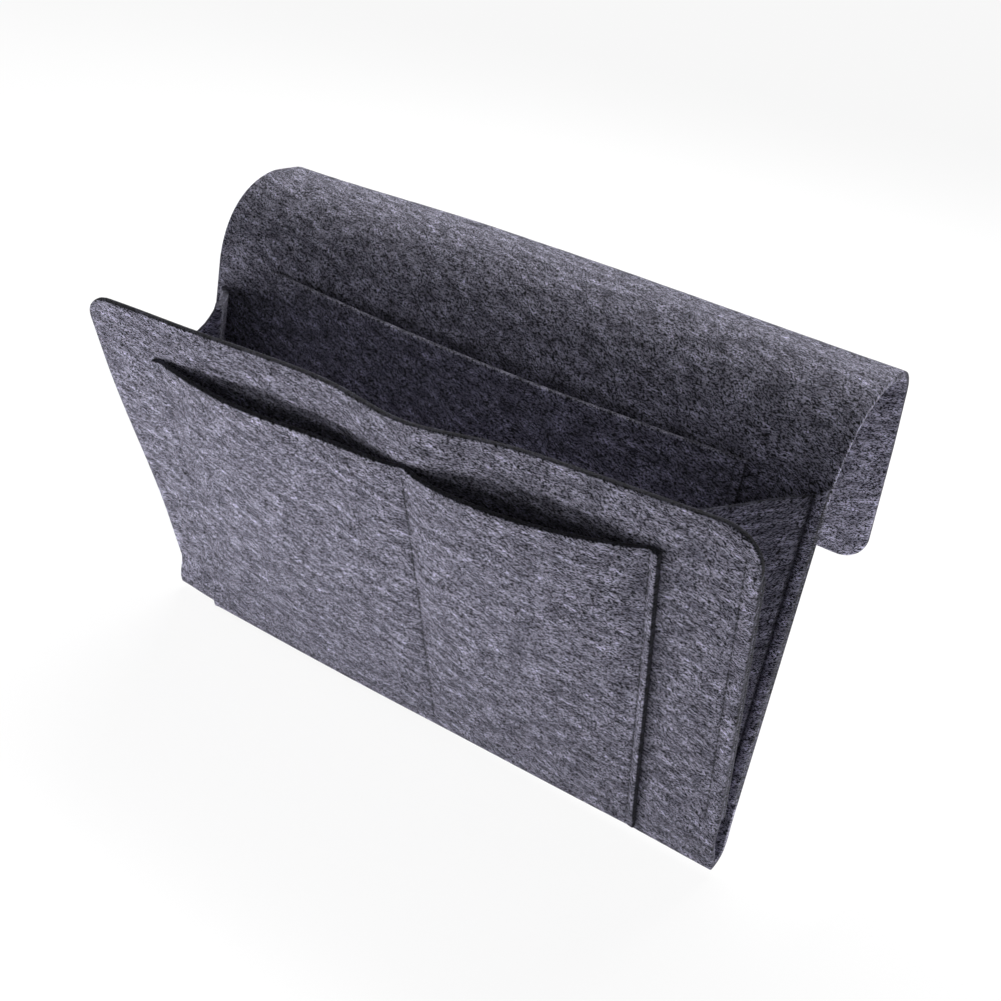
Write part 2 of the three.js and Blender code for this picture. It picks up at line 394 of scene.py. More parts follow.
def pocket_low(x):
    """Lower edge of the front pocket, which rises to the right."""
    share = (x - POCKET_LEFT) / (POCKET_RIGHT - POCKET_LEFT)
    return fold_line(x) + POCKET_FOOT + POCKET_FOOT_RISE * share


def pocket_bulge(x, s):
    left, middle, right = POCKET_SEAMS
    across = np.where(
        x < DIVIDER, MOUTH_LEFT * bulge_across(x, left, middle), MOUTH_RIGHT * bulge_across(x, middle, right)
    )
    return across * np.clip((s - FRONT_LOW) / (POCKET_HIGH - FRONT_LOW), 0, 1) ** BULGE_UP_POWER


def inner_bulge(x, s):
    up = np.clip((s - INNER_LOW) / (INNER_HIGH - INNER_LOW), 0, 1) ** BULGE_UP_POWER
    return INNER_MOUTH * bulge_across(x, -INNER_SEAM, INNER_SEAM) * up


def spaced(low, high, step=STEP, seams=(), low_cut=True, high_cut=True):
    """Places between low and high, closer together at cut edges and beside sewn lines."""
    places = list(np.linspace(low, high, max(2, int(round((high - low) / step)) + 1)))
    fixed = [low + e for e in EDGE_OFFSETS] if low_cut else [low]
    fixed += [high - e for e in EDGE_OFFSETS] if high_cut else [high]
    for seam in seams:
        fixed += [seam + e for e in SEAM_OFFSETS if low <= seam + e <= high]
    near = np.array(fixed)
    kept = [p for p in places if np.min(np.abs(near - p)) > CLEAR_OF_FIXED]
    merged = sorted(set(round(p, 4) for p in fixed + kept))
    return np.array([p for i, p in enumerate(merged) if i == 0 or p - merged[i - 1] > LEAST_STEP])


def groove(x, s, seam, low, high):
    """Depth pressed into the felt along a sewn line, deeper where the thread goes in."""
    inside = ramp(s, low - GROOVE_FADE, low) * (1 - ramp(s, high, high + GROOVE_FADE))
    dimple = 1 - DIMPLE + DIMPLE * np.cos(2 * np.pi * (s - low) / STITCH_PITCH)
    return GROOVE * inside * dimple * hump(x, seam, GROOVE_WIDTH)


def rounded_distance(x, s, half, high, radius):
    """How far a point is inside an upper edge with two round corners."""
    qx, qs = np.abs(x) - (half - radius), s - (high - radius)
    corner = radius - np.hypot(np.maximum(qx, 0), np.maximum(qs, 0))
    return np.where((qx > 0) & (qs > 0), corner, np.minimum(half - np.abs(x), high - s))


def front_top(x):
    """Height of the front's upper edge without its corners, and the radius of the corner on that side."""
    return FRONT_HIGH + FRONT_RISE * float(ramp(-x, *FRONT_RISE_FROM)), FRONT_CORNERS[int(x > 0)]


def corner_cut(x, half, radius):
    """How far a round corner lies below the straight upper edge."""
    reach = np.maximum(0, np.abs(x) - (half - radius))
    return radius - np.sqrt(np.maximum(0, radius**2 - reach**2))


def nap(uv, layers):
    """Fine unevenness of one side of a sheet, from pairs of size and seed."""
    return sum(NAP * noise(uv[..., 0], uv[..., 1], size, seed) for size, seed in layers)


def lengths_along(line):
    """How far along a line of points each point lies."""
    return np.concatenate([[0], np.cumsum(np.linalg.norm(np.diff(line, axis=0), axis=1))])


def new_mesh(name, points, faces, coords):
    mesh = bpy.data.meshes.new(name)
    mesh.from_pydata(row(points).tolist(), [], faces)
    layer = mesh.uv_layers.new(name="felt")
    layer.data.foreach_set("uv", (np.array(coords) / 1000).astype(np.float32).ravel())
    mesh.shade_smooth()
    return mesh


def new_piece(name, mesh, material):
    mesh.materials.append(material)
    piece = bpy.data.objects.new(name, mesh)
    bpy.context.collection.objects.link(piece)
    return piece


def felt_sheet(name, outer, inner, uv, edge, press, cut):
    """A closed felt sheet from two grids of points; edge is the distance to the nearest cut edge.
    press is how far each side is pressed in, or None; the depth also paints shade into sewn grooves and a
    highlight onto raised welts.
    cut gives for each side of the grid (first u, last u, first v, last v) how much painted shade darkens its
    cut edge, a negative value being a painted highlight, or None at a join."""
    nu, nv = edge.shape
    # Rounded cut edges, nap and sewn lines
    d = np.clip(edge, 0, EDGE_ROUND)
    drop = EDGE_ROUND - np.sqrt(EDGE_ROUND**2 - (EDGE_ROUND - d) ** 2)
    calm = ramp(edge, *NAP_FROM)
    normal = unit(outer - inner)
    outer = outer - normal * (drop - nap(uv, NAP_OUT) * calm)[..., None]
    inner = inner + normal * (drop - nap(uv, NAP_IN) * calm)[..., None]
    if press is not None:
        outer = outer - normal * press[0][..., None]
        inner = inner + normal * press[1][..., None]
    # The rim, whose middle line is a little frayed where the felt is cut
    rim = [(i, 0) for i in range(nu)] + [(nu - 1, j) for j in range(1, nv)]
    rim += [(i, nv - 1) for i in range(nu - 2, -1, -1)] + [(0, j) for j in range(nv - 2, 0, -1)]

    def is_cut(i, j):
        sides = (i == 0, i == nu - 1, j == 0, j == nv - 1)
        return all(c is not None for c, s in zip(cut, sides) if s)

    # How much painted shade darkens each cut edge; a negative value paints a highlight
    tone = np.zeros((nu, nv))
    first, last = slice(None, CUT_COLUMNS), slice(-CUT_COLUMNS, None)
    for side, share in zip((np.s_[first], np.s_[last], np.s_[:, first], np.s_[:, last]), cut):
        tone[side] = 0.0 if share is None else share
    middle, rim_uv = [], []
    for i, j in rim:
        ii, jj = min(max(i, 1), nu - 2), min(max(j, 1), nv - 2)
        out = unit((outer[i, j] + inner[i, j]) - (outer[ii, jj] + inner[ii, jj]))
        rough = float(noise(i * FRAY_MIX[0] + j, i + j * FRAY_MIX[1], FRAY_SIZE, seed=4))
        fray = FRAY + FRAY_VARIES * rough if is_cut(i, j) else 0.0
        middle.append((outer[i, j] + inner[i, j]) / 2 + out * fray)
        rim_uv.append(unit(uv[i, j] - uv[ii, jj]))
    # Faces of the two sides and of the rim
    points = np.concatenate([outer.reshape(-1, 3), inner.reshape(-1, 3), np.array(middle)])
    n, rims = nu * nv, len(rim)
    faces, coords = [], []
    facing = np.cross(outer[1, 0] - outer[0, 0], outer[0, 1] - outer[0, 0])
    flip = np.dot(facing, normal[0, 0]) < 0

    def add(ids, where):
        if flip:
            ids, where = ids[::-1], where[::-1]
        faces.append(ids)
        coords.extend(where)

    for i in range(nu - 1):
        for j in range(nv - 1):
            a, b, c, e = i * nv + j, (i + 1) * nv + j, (i + 1) * nv + j + 1, i * nv + j + 1
            w = [uv[i, j], uv[i + 1, j], uv[i + 1, j + 1], uv[i, j + 1]]
            add([a, b, c, e], w)
            add([n + a, n + e, n + c, n + b], [w[corner] + FAR_SIDE for corner in (0, 3, 2, 1)])
    for k in range(rims):
        m = (k + 1) % rims
        (i, j), (p, q) = rim[k], rim[m]
        o1, o2, i1, i2 = i * nv + j, p * nv + q, n + i * nv + j, n + p * nv + q
        m1, m2 = 2 * n + k, 2 * n + m
        u1, u2, r1, r2 = uv[i, j], uv[p, q], RIM_HALF * rim_uv[k], RIM_HALF * rim_uv[m]
        add([m1, m2, o2, o1], [u1 + r1, u2 + r2, u2, u1])
        add([i1, i2, m2, m1], [u1 + 2 * r1, u2 + 2 * r2, u2 + r2, u1 + r1])
    # Values that the felt's tone goes by: a painted highlight along cut edges, painted shade on cut edges (a
    # painted highlight where negative) and painted shade in sewn grooves (a painted highlight on raised
    # welts)
    mesh = new_mesh(name, points, faces, coords)
    edge_highlight = np.exp(-np.maximum(edge, 0) / HIGHLIGHT_REACH).ravel()
    edge_shade = (tone * hump(np.maximum(edge, 0), 0, EDGE_SHADE_REACH)).ravel()
    rim_is_cut = [1.0 if is_cut(i, j) else 0.0 for i, j in rim]
    sunk = [np.zeros(n), np.zeros(n)] if press is None else [press[0].ravel(), press[1].ravel()]
    for key, values in (
        ("painted_edge_highlight", np.concatenate([edge_highlight, edge_highlight, rim_is_cut])),
        ("painted_edge_shade", np.concatenate([edge_shade, edge_shade, [tone[i, j] * w for (i, j), w in zip(rim, rim_is_cut)]])),
        ("sewn", np.concatenate(sunk + [np.zeros(rims)]) / GROOVE),
    ):
        attribute = mesh.attributes.new(key, "FLOAT", "POINT")
        attribute.data.foreach_set("value", values.astype(np.float32))
    mesh.set_sharp_from_angle(angle=SHARP)
    piece = new_piece(name, mesh, felt)
    return piece


# Materials
def add_node(tree, kind, inputs=None, **settings):
    made = tree.nodes.new(kind)
    for key, value in settings.items():
        setattr(made, key, value)
    for key, value in (inputs or {}).items():
        if isinstance(value, bpy.types.NodeSocket):
            tree.links.new(value, made.inputs[key])
        else:
            made.inputs[key].default_value = value
    return made


def new_material(name):
    material = bpy.data.materials.new(name)
    material.use_nodes = True
    tree = material.node_tree
    return material, tree, tree.nodes["Principled BSDF"]


def math_node(tree, operation, a, b=None):
    inputs = {0: a}
    if b is not None:
        inputs[1] = b
    return add_node(tree, "ShaderNodeMath", inputs, operation=operation).outputs[0]


def vector_node(tree, operation, inputs):
    return add_node(tree, "ShaderNodeVectorMath", inputs, operation=operation).outputs[0]


def point_value(tree, name):
    return add_node(tree, "ShaderNodeAttribute", attribute_name=name).outputs["Fac"]


def felt_lengths(tree):
    """Place on the sheet in millimetres."""
    uv = add_node(tree, "ShaderNodeUVMap", uv_map="felt").outputs[0]
    return vector_node(tree, "SCALE", {0: uv, "Scale": 1000.0})


def remap(tree, value, low, high, out_low=0.0, out_high=1.0, smooth=True):
    made = add_node(
        tree,
        "ShaderNodeMapRange",
        {"Value": value, "From Min": low, "From Max": high, "To Min": out_low, "To Max": out_high},
        interpolation_type="SMOOTHSTEP" if smooth else "LINEAR",
    )
    return made.outputs["Result"]


def blend_colour(tree, share, a, b):
    made = add_node(tree, "ShaderNodeMix", {0: share, MIX_A: a, MIX_B: b}, data_type="RGBA")
    return made.outputs[MIX_RESULT]


def noise_node(tree, where, scale, detail=1.0, roughness=0.5):
    return add_node(
        tree,
        "ShaderNodeTexNoise",
        {"Vector": where, "Scale": scale, "Detail": detail, "Roughness": roughness},
        noise_dimensions="2D",
    )


def fibres(tree, where, length, width, turns, shift, thin):
    """Thin fibres lying in several directions: 1 on a fibre and 0 between them."""
    found = None
    for index, turn in enumerate(turns):
        placed = add_node(
            tree,
            "ShaderNodeMapping",
            {
                "Vector": where,
                "Location": (shift + FIBRE_STEP[0] * index, FIBRE_SKEW * shift - FIBRE_STEP[1] * index, 0),
                "Rotation": (0, 0, math.radians(turn)),
                "Scale": (length, width, 1),
            },
            vector_type="TEXTURE",
        )
        value = noise_node(tree, placed.outputs[0], scale=1.0).outputs["Fac"]
        value = math_node(tree, "ABSOLUTE", math_node(tree, "SUBTRACT", value, 0.5))
        value = remap(tree, value, 0.0, thin, 1.0, 0.0)
        found = value if found is None else math_node(tree, "MAXIMUM", found, value)
    return found


def stretched(tree, where, turn, length, width):
    """The same place on a sheet turned by degrees and drawn out."""
    placed = add_node(
        tree,
        "ShaderNodeMapping",
        {"Vector": where, "Rotation": (0, 0, math.radians(turn)), "Scale": (length, width, 1)},
        vector_type="TEXTURE",
    )
    return placed.outputs[0]


def fibre_cells(tree, where, turn, length, width):
    """Long narrow cells beside each other, each with a tone of its own."""
    made = add_node(
        tree,
        "ShaderNodeTexVoronoi",
        {"Vector": stretched(tree, where, turn, length, width), "Scale": 1.0},
        voronoi_dimensions="2D",
    )
    return made.outputs["Color"]


def weighted(tree, terms):
    """Sum of values times weights."""
    total = None
    for value, weight in terms:
        part = math_node(tree, "MULTIPLY", value, weight)
        total = part if total is None else math_node(tree, "ADD", total, part)
    return total


def make_felt():
    material, tree, shader = new_material("heathered_felt")
    flat = felt_lengths(tree)
    drift = noise_node(tree, flat, scale=0.045).outputs["Color"]
    drift = vector_node(tree, "SUBTRACT", {0: drift, 1: (0.5, 0.5, 0.5)})
    drift = vector_node(tree, "SCALE", {0: drift, "Scale": DRIFT})
    bent = vector_node(tree, "ADD", {0: flat, 1: drift})
    light = fibres(tree, bent, length=4.0, width=0.7, turns=(-30, 2, -58), shift=3.1, thin=0.045)
    dark = fibres(tree, bent, length=3.5, width=0.75, turns=(-18, 12, -44), shift=57.3, thin=0.05)
    fine = fibre_cells(tree, bent, turn=-26, length=0.85, width=0.24)
    cross = fibre_cells(tree, bent, turn=-4, length=0.75, width=0.24)
    along = stretched(tree, bent, turn=-24, length=3.4, width=0.8)
    streak = noise_node(tree, along, scale=1.0, detail=0.0).outputs["Fac"]
    blot = stretched(tree, bent, turn=-16, length=11.0, width=3.3)
    patch = noise_node(tree, blot, scale=1.0, roughness=0.55).outputs["Fac"]
    broad = noise_node(tree, flat, scale=0.04).outputs["Fac"]
    edge_highlight = point_value(tree, "painted_edge_highlight")
    sewn = point_value(tree, "sewn")
    edge_shade = point_value(tree, "painted_edge_shade")
    tone = weighted(tree, ((fine, 0.62), (cross, 0.5), (streak, 0.12), (light, 0.07), (dark, -0.09)))
    level = remap(tree, tone, FELT_TONE - FELT_SPREAD, FELT_TONE + FELT_SPREAD, *FELT_RANGE)
    # Random patches of tone, plus painted light: a highlight along cut edges, shade in sewn grooves and shade
    # on cut edges
    stops = weighted(tree, ((patch, 3.0), (broad, 0.3), (edge_highlight, 0.25), (sewn, -0.7), (edge_shade, -3.4)))
    gain = math_node(tree, "POWER", 2.0, math_node(tree, "SUBTRACT", stops, FELT_STOPS))
    level = math_node(tree, "MULTIPLY", level, gain)
    tint = blend_colour(tree, remap(tree, level, *TINT_FROM), TINT_DARK, TINT_LIGHT)
    colour = vector_node(tree, "SCALE", {0: tint, "Scale": level})
    tree.links.new(colour, shader.inputs["Base Color"])
    height = weighted(tree, ((light, 1.0), (dark, -0.7), (streak, 1.5), (patch, 1.2)))
    bump = add_node(tree, "ShaderNodeBump", {"Strength": 0.6, "Distance": 0.0002, "Height": height})
    tree.links.new(bump.outputs[0], shader.inputs["Normal"])
    rough = remap(tree, streak, 0.2, 0.8, out_low=0.88, out_high=1.0)
    tree.links.new(rough, shader.inputs["Roughness"])
    shader.inputs["Specular IOR Level"].default_value = 0.15
    shader.inputs["Sheen Weight"].default_value = 0.08
    shader.inputs["Sheen Roughness"].default_value = 0.6
    return material


def make_thread():
    material, tree, shader = new_material("sewing_thread")
    flat = felt_lengths(tree)
    turned = stretched(tree, flat, turn=52, length=1, width=1)
    twist = add_node(
        tree, "ShaderNodeTexWave", {"Vector": turned, "Scale": 0.9, "Distortion": 0.8}, bands_direction="X"
    ).outputs["Fac"]
    speck = noise_node(tree, flat, scale=1.1, detail=2.0).outputs["Fac"]
    colour = blend_colour(tree, twist, THREAD_DARK, THREAD_LIGHT)
    share = remap(tree, speck, 0.45, 0.75, out_low=0.0, out_high=0.4)
    colour = blend_colour(tree, share, colour, THREAD_SPECK)
    tree.links.new(colour, shader.inputs["Base Color"])
    bump = add_node(tree, "ShaderNodeBump", {"Strength": 0.6, "Distance": 0.00008, "Height": twist})
    tree.links.new(bump.outputs[0], shader.inputs["Normal"])
    rough = remap(tree, speck, 0.2, 0.8, out_low=0.55, out_high=0.75)
    tree.links.new(rough, shader.inputs["Roughness"])
    return material


felt = make_felt()
thread = make_thread()


# The long strip: front with its bottom fold, back with the arch, and the end of the flap
def bezier(points, t):
    """Points of a cubic curve and its direction there."""
    p = [np.asarray(q, float) for q in points]
    t = np.asarray(t, float)[..., None]
    value = (1 - t) ** 3 * p[0] + 3 * (1 - t) ** 2 * t * p[1] + 3 * (1 - t) * t**2 * p[2] + t**3 * p[3]
    slope = 3 * (1 - t) ** 2 * (p[1] - p[0]) + 6 * (1 - t) * t * (p[2] - p[1]) + 3 * t**2 * (p[3] - p[2])
    return value, slope


def foot_curve(corner, x):
    """Rear face of the foot in (y, z), from the sharp bottom edge up to the flat back.
    It is rounder at its right end."""
    heel = (FOOT_HEEL[0] + FOOT_BACK * float(ramp(x, *FOOT_BACK_X)), FOOT_HEEL[1])
    return [corner, corner + np.array(FOOT_BEND), heel, (0, FOOT_TOP)]


def foot_faces(curve, t):
    """Rear and front face of the foot at places along its curve."""
    rear, slope = bezier(curve, t)
    return rear, rear + FELT * unit(np.stack([-slope[:, 1], slope[:, 0]], -1))


def at_length(line, lengths, where):
    """Places on a line of (y, z) points, by length along it."""
    return np.stack([np.interp(where, lengths, line[:, 0]), np.interp(where, lengths, line[:, 1])], -1)


def round_corner(lane, corner, reach):
    """Rounds the one sharp bend of a line of points."""
    gone = lengths_along(lane)
    middle, tip = gone[corner - 1], lane[corner - 1]
    before, after = at_length(lane, gone, middle - reach), at_length(lane, gone, middle + reach)
    t = np.linspace(0, 1, CORNER_POINTS)[:, None]
    arc = (1 - t) ** 2 * before + 2 * t * (1 - t) * tip + t**2 * after
    return np.concatenate([lane[gone < middle - reach], arc, lane[gone > middle + reach]])


def strip_front():
    xs = spaced(-HALF, HALF, seams=(-SEAM_X, SEAM_X))
    face_share = np.array([p for p in spaced(0, FRONT_GRID) if p == 0 or p > FIRST_ROW]) / FRONT_GRID
    outer, inner, uv, edge = [], [], [], []
    for x in xs:
        a = float(open_angle(x))
        crest, radius = front_top(x)
        high = crest - float(corner_cut(x, HALF, radius))
        low = float(fold_low(x))
        curve = foot_curve(on_front(x, low, PANEL_OUT)[1:], x)
        # Where the foot's front face meets the inner face of the front
        t = np.linspace(0, 1, CURVE_POINTS)
        _, inside = foot_faces(curve, t)
        dy, dz = inside[:, 0] - FOLD_Y, inside[:, 1] - FOLD_Z
        depth = -(dy * math.cos(a) + dz * math.sin(a))
        k = int(np.argmax(depth <= PANEL_IN))
        meet = inside[k]
        first_s = float(-dy[k] * math.sin(a) + dz[k] * math.cos(a)) + FACE_START
        # Down the foot, round the fold and up the front
        start = t[min(k + PAST_MEETING, CURVE_POINTS - 1)]
        foot_out, foot_in = foot_faces(curve, np.linspace(1, start, FOOT_ROWS))
        under, _ = foot_faces(curve, np.linspace(start, 0, LANE_FOOT))
        rise = on_front(np.full(LANE_FACE, x), np.linspace(low, first_s, LANE_FACE), PANEL_OUT)[1:, 1:]
        lane = round_corner(np.concatenate([under, rise]), LANE_FOOT, FOLD_ROUND)
        gone = lengths_along(lane)
        fold_out = at_length(lane, gone, np.linspace(0, gone[-1], FOLD_ROWS + 2)[1:-1])
        turn = np.linspace(0, 1, FOLD_ROWS + 2)[1:-1, None]
        end = on_front(x, first_s, PANEL_IN)[1:]
        fold_in = (1 - turn) ** 2 * foot_in[-1] + 2 * turn * (1 - turn) * meet + turn**2 * end
        s = first_s + (high - first_s) * face_share
        face_out = on_front(np.full_like(s, x), s, PANEL_OUT)[:, 1:]
        face_in = on_front(np.full_like(s, x), s, PANEL_IN)[:, 1:]
        o = np.concatenate([foot_out, fold_out, face_out])
        i = np.concatenate([foot_in, fold_in, face_in])
        outer.append(np.column_stack([np.full(len(o), x), o]))
        inner.append(np.column_stack([np.full(len(i), x), i]))
        along = lengths_along(o)
        along += first_s - along[FOOT_ROWS + FOLD_ROWS]
        uv.append(np.column_stack([np.full(len(o), x), along]))
        top = np.concatenate([np.full(FOOT_ROWS + FOLD_ROWS, FAR_FROM_TOP), s])
        edge.append(np.minimum(HALF - abs(x), rounded_distance(x, top, HALF, crest, radius)))
    outer, inner, uv, edge = (np.array(v) for v in (outer, inner, uv, edge))
    x, s = uv[..., 0], uv[..., 1]
    # The seam groove's depth also paints shade into the felt, and the welt beside it a painted highlight
    sewn_out = groove(np.abs(x), s, SEAM_X, SEAM_LOW, SEAM_HIGH) * np.where(x < 0, FAINT, 1.0)
    sewn_out = sewn_out - WELT * hump(np.abs(x), WELT_X, WELT_WIDTH) * ramp(s, *WELT_FROM)
    sewn_in = INSIDE_PRESS * sum(groove(x, s, seam, SEAM_FOOT, POCKET_HIGH) for seam in POCKET_SEAMS[1:])
    # Painted shade on the cut edges of the front's sides and top
    cut = (0.5, 0.5, None, 1.0)
    piece = felt_sheet("front_strip", outer, inner, uv, edge, (sewn_out, sewn_in), cut)
    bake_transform(piece)
    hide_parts("front_panel")


def profile_sheet(xs, lengths_of):
    """Grids of a full-width sheet that follows the side view of the strip."""
    outer, inner, uv, edge = [], [], [], []
    for x in xs:
        lengths, distance = lengths_of(x)
        middle, out = strip_line(lengths)
        for store, sign in ((outer, 1), (inner, -1)):
            store.append(np.column_stack([np.full(len(lengths), x), middle + sign * FELT / 2 * out]))
        uv.append(np.column_stack([np.full(len(lengths), x), lengths]))
        edge.append(distance)
    outer, inner, uv, edge = (np.array(v) for v in (outer, inner, uv, edge))
    x, v = uv[..., 0], uv[..., 1]
    shift = unit(outer - inner) * flap_wave(x, v)[..., None] + flap_lean(x, v)
    return outer + shift, inner + shift, uv, edge


# Lengths along the strip's back, from the bottom of the back
ARCH_START = ARCH_Z
ARCH_END = ARCH_START + ARCH_R * math.pi / 2
JOIN_AT = ARCH_END + CROWN_JOIN - ARCH_Y
BEND_AT = ARCH_END + CROWN_END - ARCH_Y
TAIL_AT = BEND_AT + REAR_BEND_R * TAIL_TURN
STRIP_END = TAIL_AT + TAIL_LENGTH


def strip_line(v):
    """Middle of the strip in (y, z) and its upper side's direction, by length from the bottom of the back."""
    v = np.asarray(v, float)
    turn = np.clip((v - ARCH_START) / ARCH_R, 0, math.pi / 2)
    bend = np.clip((v - BEND_AT) / REAR_BEND_R, 0, TAIL_TURN)
    total = turn + bend
    out = np.stack([-np.cos(total), np.sin(total)], -1)
    y = np.where(v <= ARCH_START, -FELT / 2, ARCH_Y - ARCH_R * np.cos(turn))
    z = np.where(v <= ARCH_START, v, ARCH_Z + ARCH_R * np.sin(turn))
    y = y + np.clip(v - ARCH_END, 0, CROWN_END - ARCH_Y)
    y = y + np.where(v > BEND_AT, REAR_BEND_R * np.sin(bend), 0)
    z = z - np.where(v > BEND_AT, REAR_BEND_R * (1 - np.cos(bend)), 0)
    drop = np.maximum(0, v - TAIL_AT)
    y = y + drop * math.cos(TAIL_TURN)
    z = z - drop * math.sin(TAIL_TURN)
    return np.stack([y, z], -1), out


def flap_wave(x, v):
    """Slow unevenness of the flap, none at the back and at the join on the crown."""
    arch = ramp(v - ARCH_START, *ARCH_EASE) * (1 - ramp(v, ARCH_END - CROWN_EASE, ARCH_END))
    tail = ramp(v - TAIL_AT, *TAIL_EASE)
    arch = ARCH_WAVE * arch * noise(x, v, ARCH_WAVE_SIZE, seed=12)
    return arch + tail * (TAIL_BOW + TAIL_WAVE * noise(x, v, TAIL_WAVE_SIZE, seed=13))


def flap_lean(x, v):
    """The left end of the flap sits lower and further forward than the rest.
    Its middle sits a little higher."""
    up = ramp(v, ARCH_START + LEAN_EASE, ARCH_END - CROWN_EASE) * (1 - ramp(v, TAIL_AT, STRIP_END))
    left = ramp(-x, *LEAN_X) * up
    middle = hump(x, CROWN_RISE_X, CROWN_RISE_WIDTH) * up
    return np.stack([0 * left, -LEAN_FORWARD * left, CROWN_RISE * middle - LEAN_DOWN * left], -1)


def strip_back():
    xs = spaced(-HALF, HALF, seams=(-SEAM_X, SEAM_X, -INNER_SEAM, INNER_SEAM))
    lengths = np.concatenate([
        np.linspace(FOOT_TOP, ARCH_START, BACK_ROWS)[:-1],
        np.linspace(ARCH_START, ARCH_END, ARCH_ROWS)[:-1],
        np.linspace(ARCH_END, JOIN_AT, CROWN_ROWS),
    ])

    def lengths_of(x):
        return lengths, np.full(len(lengths), HALF - abs(x))

    outer, inner, uv, edge = profile_sheet(xs, lengths_of)
    x, v = np.abs(uv[..., 0]), uv[..., 1]
    # The grooves' depth on the inner side also paints shade into the felt
    rear = groove(x, v, SEAM_X, *REAR_SEAM)
    rear = rear + groove(x, v, INNER_SEAM, INNER_LOW + SEAM_FOOT, INNER_HIGH - SEAM_MOUTH)
    # Painted shade on the back's cut edges; on the right one it turns to a painted highlight higher up
    right = BACK_EDGE_SHADE + (BACK_EDGE_HIGHLIGHT - BACK_EDGE_SHADE) * ramp(lengths, *BACK_EDGE_FROM)
    cut = (0.25, right, None, None)
    piece = felt_sheet("back_strip", outer, inner, uv, edge, (0 * rear, rear), cut)
    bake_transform(piece)
    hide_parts("back_panel", "flap_arch")


def strip_tail():
    xs = spaced(-HALF, HALF)
    share = spaced(0, TAIL_GRID, low_cut=False) / TAIL_GRID
    crown = np.linspace(JOIN_AT, BEND_AT, CROWN_ROWS)[:-1]
    bend = np.linspace(BEND_AT, TAIL_AT, BEND_ROWS)

    def lengths_of(x):
        high = STRIP_END - float(corner_cut(x, HALF, TAIL_CORNER))
        lengths = np.concatenate([crown, bend, TAIL_AT + (high - TAIL_AT) * share[1:]])
        return lengths, rounded_distance(x, lengths, HALF, STRIP_END, TAIL_CORNER)

    outer, inner, uv, edge = profile_sheet(xs, lengths_of)
    # Painted shade on the tail's cut edges
    piece = felt_sheet("tail_strip", outer, inner, uv, edge, None, (0.25, 0.25, None, 0.4))
    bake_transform(piece)
    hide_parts("flap_tail")


# The two pocket sheets
def pocket_front():
    xs = spaced(POCKET_LEFT, POCKET_RIGHT, seams=POCKET_SEAMS)
    share = spaced(0, POCKET_GRID) / POCKET_GRID
    x = np.repeat(xs[:, None], len(share), 1)
    low = pocket_low(x)
    s = low + (POCKET_HIGH - low) * share[None, :]
    rise = pocket_bulge(x, s)
    lift = EDGE_LIFT_RIGHT * ramp(x, POCKET_SEAMS[2], POCKET_RIGHT)
    lift = lift + EDGE_LIFT_LEFT * ramp(-x, -POCKET_SEAMS[0], -POCKET_LEFT)
    swell = POCKET_EDGE_SWELL * ramp(x, POCKET_SEAMS[2], POCKET_RIGHT - SWELL_FULL)
    swell = swell * ramp(s - low, *SWELL_FOOT)
    ruffle = POCKET_RUFFLE * noise(x, s, POCKET_RUFFLE_SIZE, seed=3) * np.minimum(1, rise / RUFFLE_FULL_AT)
    near = PANEL_OUT + GAP + rise + lift + ruffle
    outer, inner = on_pocket(x, s, near + FELT + swell), on_pocket(x, s, near)
    uv = np.stack([x + POCKET_AT, s], -1)
    edge = np.minimum(np.minimum(x - POCKET_LEFT, POCKET_RIGHT - x), np.minimum(s - low, POCKET_HIGH - s))
    high = POCKET_HIGH - SEAM_MOUTH
    # The seam grooves' depth also paints shade into the felt
    sewn = sum(groove(x, s, seam, pocket_low(seam) + SEAM_FOOT, high) for seam in POCKET_SEAMS)
    sewn = sewn * np.where(x < 0, FAINT, 1.0)
    # Painted shade on the pocket's cut edges
    cut = (0.8, 0.9, 0.6, 1.0)
    piece = felt_sheet("pocket_front_sheet", outer, inner, uv, edge, (sewn, 0 * sewn), cut)
    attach(piece, "front")
    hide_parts("front_pocket")


def pocket_inner():
    xs = spaced(-INNER_HALF, INNER_HALF, seams=(-INNER_SEAM, INNER_SEAM))
    ss = spaced(INNER_LOW, INNER_HIGH)
    x, s = np.repeat(xs[:, None], len(ss), 1), np.repeat(ss[None, :], len(xs), 0)
    rise = inner_bulge(x, s)
    ruffle = INNER_RUFFLE * noise(x, s, INNER_RUFFLE_SIZE, seed=21) * np.minimum(1, rise / RUFFLE_FULL_AT)
    near = FELT + GAP + rise + ruffle
    outer, inner = on_back(x, s, near + FELT), on_back(x, s, near)
    uv = np.stack([x + INNER_AT, s], -1)
    edge = np.minimum(INNER_HALF - np.abs(x), np.minimum(s - INNER_LOW, INNER_HIGH - s))
    # The seam grooves' depth also paints shade into the felt
    sewn = groove(np.abs(x), s, INNER_SEAM, INNER_LOW + SEAM_FOOT, INNER_HIGH - SEAM_MOUTH)
    # Painted shade on the inner pocket's cut edges
    cut = (0.6, 0.6, 0.6, 0.3)
    piece = felt_sheet("pocket_inner_sheet", outer, inner, uv, edge, (sewn, 0 * sewn), cut)
    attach(piece, "back")
    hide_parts("inner_pocket")


# How far each gusset half is cut down at its outer edge, its seam line and its crease,
# and how late between the last two
GUSSET_TOPS = {
    ("left", True): (38.0, 14.0, -10.4, 1.0),
    ("left", False): (22.0, 11.0, -10.4, 6.5),
    ("right", True): (-5.0, 0.0, 0.0, 1.0),
    ("right", False): (11.0, 1.0, 0.0, 1.0),
}


